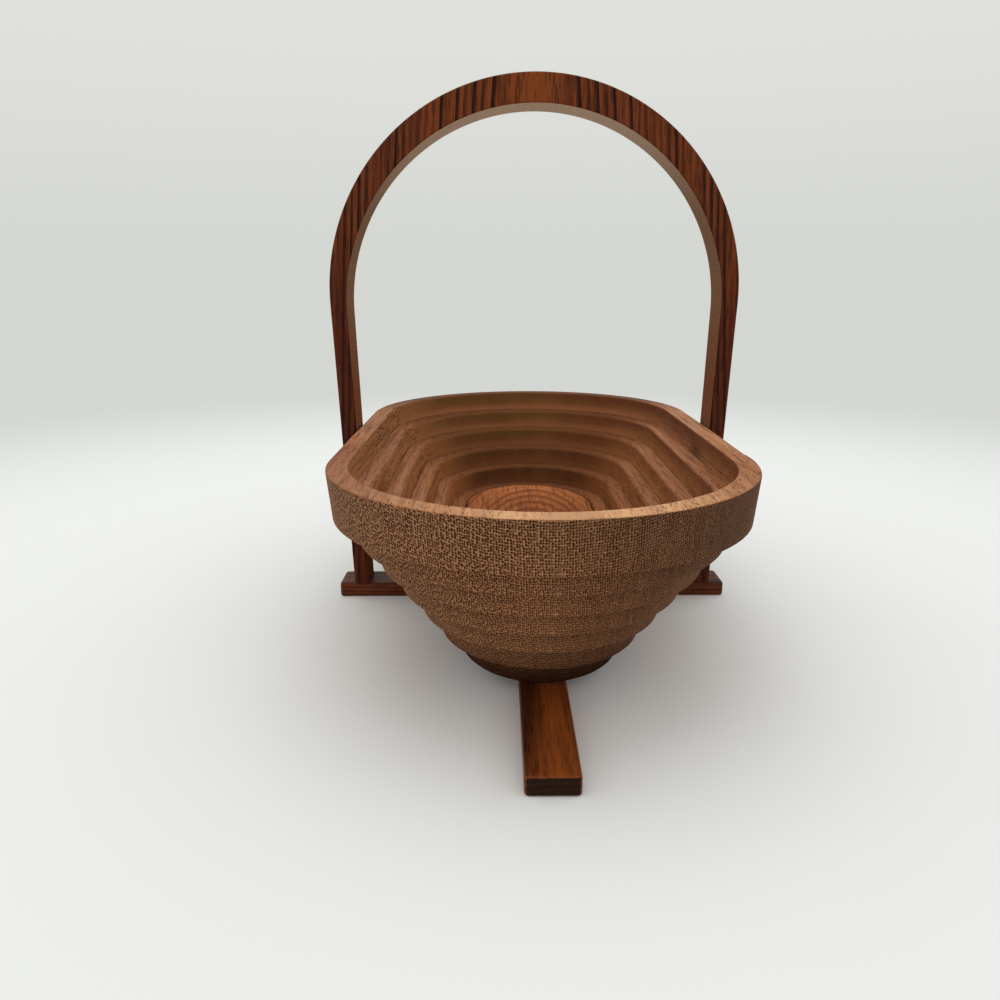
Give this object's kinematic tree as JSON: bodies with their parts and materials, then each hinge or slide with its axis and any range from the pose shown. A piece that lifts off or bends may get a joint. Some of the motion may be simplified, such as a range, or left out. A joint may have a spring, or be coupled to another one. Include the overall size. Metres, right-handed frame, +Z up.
{
  "type": "collapsible wooden basket",
  "caption": "Collapsible wooden basket: sawn turns of one board drop into a stepped oval bowl, hung in an arched handle that stands on a T-shaped foot.",
  "frame": {"origin": "on the floor under the middle of the handle, at the centre of the cross foot's underside", "axes": "+Z up, +X along the cross foot, -Y along the front foot bar, so the handle arch stands in the plane y = 0"},
  "size_m": [0.1864, 0.2984, 0.2333],
  "materials": {
    "varnished_wood": "dark reddish brown varnish, satin",
    "board_wood": "sawn open-grained wood, light oil, matt",
    "dowel_wood": "plain dowel end, matt"
  },
  "bodies": {
    "stand": {"handle_arch": "varnished_wood", "cross_foot": "varnished_wood", "front_foot": "varnished_wood", "pivot_dowel_right": "dowel_wood", "pivot_dowel_left": "dowel_wood", "rim": "board_wood"},
    "turn_1": {"turn_1": "board_wood"},
    "turn_2": {"turn_2": "board_wood"},
    "turn_3": {"turn_3": "board_wood"},
    "turn_4": {"turn_4": "board_wood"},
    "turn_5": {"turn_5": "board_wood"},
    "bottom_board": {"bottom_board": "board_wood"}
  },
  "joints": [
    {"name": "turn_1_drop", "type": "slide", "parent": "stand", "child": "turn_1", "axis": [0, 0, 1], "range_m": [0, 0.0097]},
    {"name": "turn_2_drop", "type": "slide", "parent": "turn_1", "child": "turn_2", "axis": [0, 0, 1], "range_m": [0, 0.0097]},
    {"name": "turn_3_drop", "type": "slide", "parent": "turn_2", "child": "turn_3", "axis": [0, 0, 1], "range_m": [0, 0.0097]},
    {"name": "turn_4_drop", "type": "slide", "parent": "turn_3", "child": "turn_4", "axis": [0, 0, 1], "range_m": [0, 0.0097]},
    {"name": "turn_5_drop", "type": "slide", "parent": "turn_4", "child": "turn_5", "axis": [0, 0, 1], "range_m": [0, 0.0097]},
    {"name": "floor_dip", "type": "hinge", "parent": "turn_5", "child": "bottom_board", "pos_m": [0, 0.0775, 0.0348], "axis": [-1, 0, 0], "range_deg": [0, 2.85]}
  ],
  "couplings": [
    {"joint": "turn_2_drop", "follows": "turn_1_drop", "ratio": 1},
    {"joint": "turn_3_drop", "follows": "turn_1_drop", "ratio": 1},
    {"joint": "turn_4_drop", "follows": "turn_1_drop", "ratio": 1},
    {"joint": "turn_5_drop", "follows": "turn_1_drop", "ratio": 1},
    {"joint": "floor_dip", "follows": "turn_1_drop", "rad_per_m": 5.1299}
  ]
}
